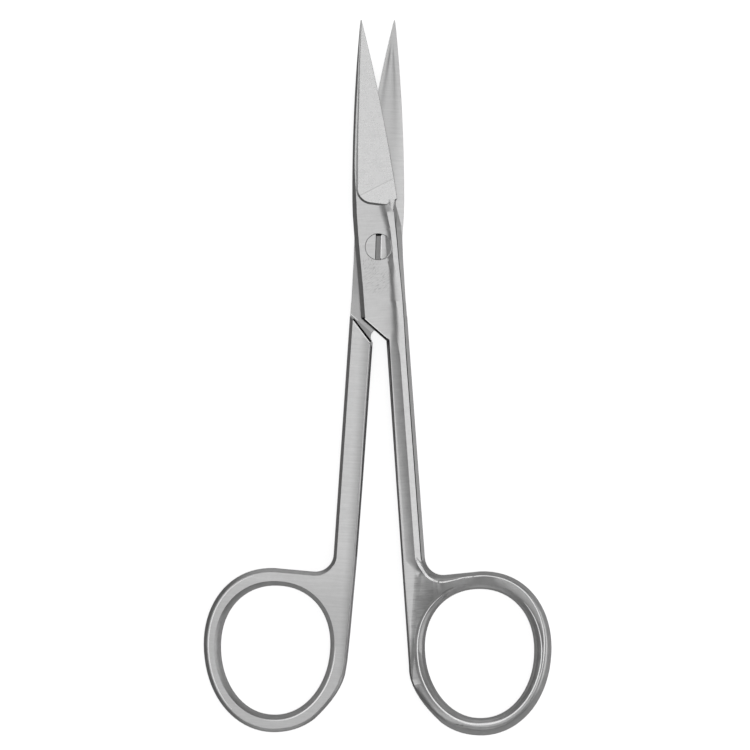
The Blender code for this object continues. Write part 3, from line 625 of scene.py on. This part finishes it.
def frontZone(face):
    # 0 flats, 1 sides, 2 ground face, 3 chamfer, 4 groove, 5 bow, 6 web
    u, v, w = toOwn("front_half", face.calc_center_median())
    tilt = tiltOf(face)
    up = face.normal.z > 0
    leansOut = face.normal.x > zones["backLean"]
    isChamfer = zones["chamferTilt"][0] < tilt < zones["chamferTilt"][1]
    isHigh = w > zones["chamferFoot"]
    isFlat = tilt < zones["flatTilt"]
    onBlade = v > zones["bladeStart"] and u > zones["bladeEdge"] and w < zones["bladeTop"]
    if up and onBlade and isFlat and face.calc_area() > zones["bladeArea"]:
        return 2
    nearSaddle = finish["bowEnd"] < v < finish["bowStart"]
    if up and nearSaddle and zones["backOut"] < u < zones["webOut"][1]:
        if isChamfer and isHigh and leansOut:
            return 3
        if isFlat:
            return 0
    inWeb = v < finish["bowStart"] and zones["webOut"][0] < u < zones["webOut"][1]
    isHollow = zones["webTilt"][0] < tilt < zones["webTilt"][1]
    if up and inWeb and isHollow and w > zones["webFoot"]:
        return 6
    alongBack = finish["bowStart"] < v < zones["backEnd"] and u > zones["backOut"]
    if up and leansOut and alongBack and w > zones["backFoot"]:
        if tilt > zones["wallTilt"]:
            return 4
        if isHigh and (isChamfer or (v > zones["heelStart"] and u > zones["heelOut"])):
            return 3
        if not isFlat and not isHigh:
            return 1
    if v < finish["bowStart"] and (tilt > zones["bowTilt"] or u > zones["bowOut"]):
        return 5
    return 1 if tilt > zones["sideTilt"] else 0


def rearZone(face):
    # 0 flats, 1 sides, 2 lap, 3 inside of the blade, 4 bow
    v, w = toOwn("rear_half", face.calc_center_median())[1:]
    tilt = tiltOf(face)
    if face.normal.z > zones["lapNormal"] and abs(w) < zones["lapHeight"]:
        return 3 if v > 0 else 2
    if v < finish["bowStart"] and tilt > zones["bowTilt"]:
        return 4
    return 1 if tilt > zones["sideTilt"] else 0


def screwZone(face):
    # 0 head, 1 slot
    x, y, z = face.calc_center_median() / mm
    inSlot = abs(x) < zones["slotOut"] and 0 < z - midLevel < zones["slotTop"]
    return 1 if inSlot and math.hypot(x, y) < zones["slotReach"] else 0


# the last material is that of the bright lands, painted highlight, and the one before it that of
# the dark ones, painted shade
dressedCopy("rear_half", "rearHalf", "rear",
            [rearFlat, sideSteel, lapSteel, innerSteel, rearBowSteel, cornerShadeSteel, crestHighlightSteel],
            rearZone)
dressedCopy("front_half", "frontHalf", "front",
            [frontFlat, sideSteel, groundSteel, chamferSteel, grooveShadeSteel, bowSteel, webSteel,
             cornerShadeSteel, crestHighlightSteel],
            frontZone)
dressedCopy("pivot_screw", "pivotScrew", "rear",
            [screwSteel, slotSteel, crestHighlightSteel], screwZone)

studio = {
    "floorHalfSize": 6.0,          # metres
    "floorColour": "f2f2f2",
    "floorRoughness": 0.9,
    "floorLift": 0.80,             # brings the paper up to white for the camera
    "worldLevel": 0.13,
    "lampDistance": 2.5,           # metres from the aim
    "aim": (0, -23 * mm, 0),
}
lamps = {
    # direction off vertical (x degrees, y degrees), size in metres (x, y), radiance
    "overheadSoftbox": ((0.0, 0.0), (0.60, 1.6), 1.09),
    "leftVeil": ((-10.5, 0.0), (0.30, 1.6), 0.60),
    "rightVeil": ((10.5, 0.0), (0.30, 1.6), 0.60),
    "rightSoftbox": ((62.0, 0.0), (2.1, 2.4), 1.05),
    "farSoftbox": ((0.0, 55.0), (2.2, 1.4), 0.50),
    "nearSoftbox": ((0.0, -55.0), (2.2, 1.4), 0.45),
}

for name, (lean, size, radiance) in lamps.items():
    lampData = bpy.data.lights.new(name, "AREA")
    lampData.shape = "RECTANGLE"
    lampData.size, lampData.size_y = size
    lampData.energy = radiance * math.pi * size[0] * size[1]
    lamp = bpy.data.objects.new(name, lampData)
    turn = (Matrix.Rotation(math.radians(lean[0]), 4, "Y")
            @ Matrix.Rotation(-math.radians(lean[1]), 4, "X"))
    away = Matrix.Translation((0, 0, studio["lampDistance"]))
    lamp.matrix_world = Matrix.Translation(studio["aim"]) @ turn @ away
    bpy.context.scene.collection.objects.link(lamp)

bm = bmesh.new()
bmesh.ops.create_grid(bm, x_segments=1, y_segments=1, size=studio["floorHalfSize"])
floorMesh = bpy.data.meshes.new("paperFloor")
bm.to_mesh(floorMesh)
bm.free()
floor = bpy.data.objects.new("paperFloor", floorMesh)
bpy.context.scene.collection.objects.link(floor)
paper = bpy.data.materials.new("whitePaper")
paper.use_nodes = True
tree = paper.node_tree
surface = tree.nodes["Principled BSDF"]
surface.inputs["Base Color"].default_value = srgb(studio["floorColour"])
surface.inputs["Roughness"].default_value = studio["floorRoughness"]
surface.inputs["Emission Color"].default_value = (1, 1, 1, 1)
path = addNode(tree, "ShaderNodeLightPath")
lift = addNode(tree, "ShaderNodeMath", {1: studio["floorLift"]}, {0: path.outputs["Is Camera Ray"]},
               operation="MULTIPLY")
tree.links.new(lift.outputs[0], surface.inputs["Emission Strength"])
floorMesh.materials.append(paper)

world = bpy.data.worlds.new("studioRoom")
world.use_nodes = True
background = world.node_tree.nodes["Background"]
background.inputs["Color"].default_value = (1, 1, 1, 1)
background.inputs["Strength"].default_value = studio["worldLevel"]
bpy.context.scene.world = world
bpy.context.scene.view_settings.view_transform = "Standard"
print("studio lit")
